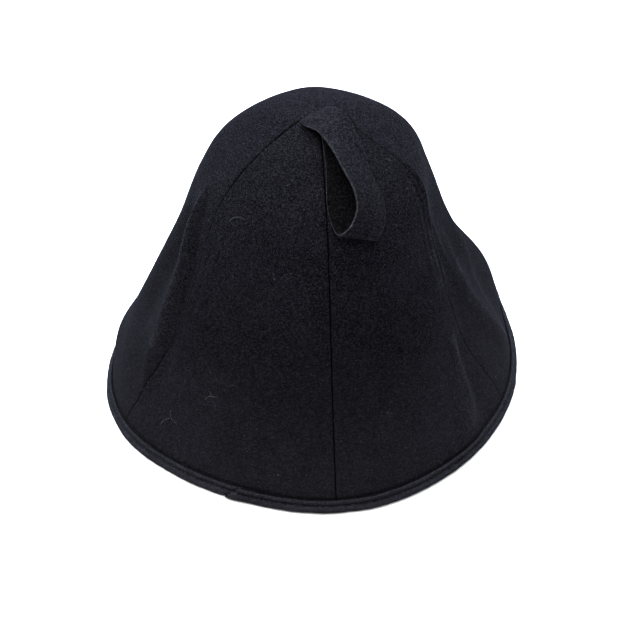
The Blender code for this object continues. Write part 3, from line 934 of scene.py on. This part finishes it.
def build_fibres(fibres, roots, normals, material, random):
    """Short curved fibres that stand or lie on the felt: each a thin ribbon that turns as it goes."""
    count = len(roots)
    tangent = unit(np.cross(normals, random.normal(size=(count, 3))))
    length = random.uniform(fibres.shortest, fibres.longest, (count, 1))
    rise = fibres.lift * random.uniform(0.3, 1.0, (count, 1))
    curl = fibres.curl * random.uniform(-1.0, 1.0, (count, 1))
    side = np.cross(normals, tangent)
    heading = unit(tangent * (1.0 - rise) + normals * rise)
    place = roots - normals * FIBRE_ROOT
    points = []
    for step in range(FIBRE_STEPS + 1):
        half = 0.5 * fibres.width * (1.0 - FIBRE_TAPER * step / FIBRE_STEPS)
        points += [place - side * half, place + side * half]
        place = place + heading * length / FIBRE_STEPS
        heading = unit(heading + side * curl * FIBRE_BEND - normals * rise * FIBRE_FALL)
        side = unit(np.cross(normals, heading))
    corners = len(points)
    faces = []
    for start in range(0, count * corners, corners):
        for corner in range(start, start + corners - 2, 2):
            faces.append((corner, corner + 1, corner + 3, corner + 2))
    piece = new_mesh(fibres.name, np.stack(points, 1).reshape(-1, 3), faces, material)
    return piece


def build_named_lint(material):
    """The few pale specks and loose hairs that stand out, each a thin curved ribbon on the felt."""
    points = []
    faces = []
    for lint in LINTS:
        along = np.linspace(-0.5, 0.5, LINT_STEPS)
        turn = math.radians(lint.heading) + lint.curl * along
        step = lint.length / (LINT_STEPS - 1)
        sideways = np.cumsum(np.cos(turn)) * step
        downwards = np.cumsum(np.sin(turn)) * step
        radius = float(np.linalg.norm(felt_point(lint.slope, lint.azimuth)[:2]))
        slope = lint.slope + downwards / WALL_LENGTH
        azimuth = lint.azimuth + np.degrees(sideways / radius)
        middle, normal = felt_wall(slope, azimuth, 0.0, FAR_FROM_SEAMS)
        middle = middle + normal * LINT_LIFT
        tangent = unit(np.gradient(middle, axis=0))
        half = 0.5 * LINT_WIDTH * np.cross(normal, tangent)
        add_ribbon(points, faces, middle, half)
    piece = new_mesh("loose_hairs", np.array(points), faces, material)
    return piece


def scatter(fibres, random):
    """Places spread over the outside of the felt, clear of its seams, with their outward directions."""
    steps = np.linspace(FIBRE_START, FIBRE_END, FIBRE_PLACES)
    radius = on_curve(PROFILE, steps, OVER_THE_APEX)[:, 0]
    share = np.cumsum(radius * fade((fibres.reach - steps) / THINNING))
    slope = np.interp(random.uniform(0.0, 1.0, fibres.count), share / share[-1], steps)
    azimuth = random.uniform(-180.0, 180.0, fibres.count)
    radius = np.linalg.norm(felt_point(slope, azimuth)[..., :2], axis=-1)
    relief = 0.0
    to_seam = FAR_FROM_SEAMS
    for number in range(len(GORES)):
        from_seam = np.radians(np.abs(angle_between(azimuth, seam_azimuth(number, slope)))) * radius
        relief = relief + seam_relief(number, slope, from_seam)
        to_seam = np.minimum(to_seam, from_seam)
    points, normals = felt_wall(slope, azimuth, relief, to_seam)
    clear = to_seam > SEAM_CLEARANCE
    return points[clear], normals[clear]


def scatter_on_crests(random):
    """Places along the crests of the folds, closest together on the crest, with their outward directions."""
    slopes = []
    azimuths = []
    for crest in CRESTS:
        route = np.array(crest.route, float)
        slope = random.uniform(route[0, 0], route[-1, 0], crest.count)
        along = (slope - route[0, 0]) / (route[-1, 0] - route[0, 0])
        spread = crest.upper + (crest.lower - crest.upper) * along
        azimuth = np.interp(slope, route[:, 0], route[:, 1])
        radius = np.linalg.norm(felt_point(slope, azimuth)[..., :2], axis=-1)
        slopes.append(slope)
        azimuths.append(azimuth + np.degrees(random.normal(size=crest.count) * spread / radius))
    return felt_wall(np.concatenate(slopes), np.concatenate(azimuths), 0.0, FAR_FROM_SEAMS)


def build_floor():
    """A plain pale floor under the hat."""
    half = FLOOR_HALF
    mesh = bpy.data.meshes.new("floor")
    corners = [(-half, -half, 0.0), (half, -half, 0.0), (half, half, 0.0), (-half, half, 0.0)]
    mesh.from_pydata(corners, [], [(0, 1, 2, 3)])
    material = bpy.data.materials.new("pale_floor")
    material.use_nodes = True
    shader = material.node_tree.nodes["Principled BSDF"]
    shader.inputs["Base Color"].default_value = FLOOR_COLOUR
    shader.inputs["Roughness"].default_value = FLOOR_ROUGHNESS
    shader.inputs["Specular IOR Level"].default_value = FLOOR_GLOSS
    mesh.materials.append(material)
    floor = bpy.data.objects.new("floor", mesh)
    bpy.context.scene.collection.objects.link(floor)


def build_camera():
    """The camera at the photo's angle, above the floor."""
    data = bpy.data.cameras.new("camera")
    data.sensor_width = SENSOR
    data.lens = SENSOR * FOCAL_PIXELS / FRAME_PIXELS
    data.clip_start = CLIP_START
    camera = bpy.data.objects.new("camera", data)
    rise = math.radians(CAMERA_ELEVATION)
    camera.location = CAMERA_AIM + Vector((0.0, -math.cos(rise), math.sin(rise))) * CAMERA_DISTANCE
    camera.rotation_euler = (math.radians(90.0 - CAMERA_ELEVATION), 0.0, 0.0)
    bpy.context.scene.collection.objects.link(camera)
    bpy.context.scene.camera = camera


def build_lights():
    """Soft studio light from above, behind and both sides, and a dim pale surround."""
    for lamp in LAMPS:
        data = bpy.data.lights.new(lamp.name, "AREA")
        data.shape = "SQUARE"
        data.size = lamp.size
        data.energy = lamp.power
        data.color = lamp.color
        light = bpy.data.objects.new(lamp.name, data)
        light.location = lamp.place
        light.rotation_euler = (LIGHT_AIM - light.location).to_track_quat("-Z", "Y").to_euler()
        bpy.context.scene.collection.objects.link(light)
    data = bpy.data.lights.new("even_light", "SUN")
    data.energy = SKY_STRENGTH
    data.angle = math.radians(SKY_WIDTH)
    light = bpy.data.objects.new("even_light", data)
    light.location = (0.0, 0.0, 3.0)
    bpy.context.scene.collection.objects.link(light)
    world = bpy.data.worlds.new("surround")
    world.use_nodes = True
    background = world.node_tree.nodes["Background"]
    background.inputs["Color"].default_value = SURROUND_COLOUR
    background.inputs["Strength"].default_value = SURROUND_STRENGTH
    bpy.context.scene.world = world
    bpy.context.scene.view_settings.view_transform = "Standard"


def build_hat():
    """Every piece of the hat, with its finish."""
    wool, strip, loop, loop_inner_shaded, highlit_edge = (build_felt_material(felt) for felt in FELTS)
    plains = (build_plain_material(plain) for plain in PLAINS)
    thread, seam_shadow_paint, fuzz, crown_highlight, crest_highlight_fuzz, lint = plains
    for number, name in enumerate(GORES):
        build_gore(name, number, wool)
    build_seam_shadow_lines(seam_shadow_paint)
    build_binding(strip)
    build_stitches(thread)
    build_loop(loop, highlit_edge, loop_inner_shaded)
    random = np.random.default_rng(FIBRE_SEED)
    for fibres in CROWN_FUZZ:
        build_fibres(fibres, *scatter(fibres, random), crown_highlight, random)
    for fibres in FUZZ:
        build_fibres(fibres, *scatter(fibres, random), fuzz, random)
    build_fibres(CREST_HIGHLIGHT_FUZZ, *scatter_on_crests(random), crest_highlight_fuzz, random)
    build_fibres(LINT, *scatter(LINT, random), lint, random)
    build_named_lint(lint)


build_camera()
build_lights()
build_floor()
build_hat()
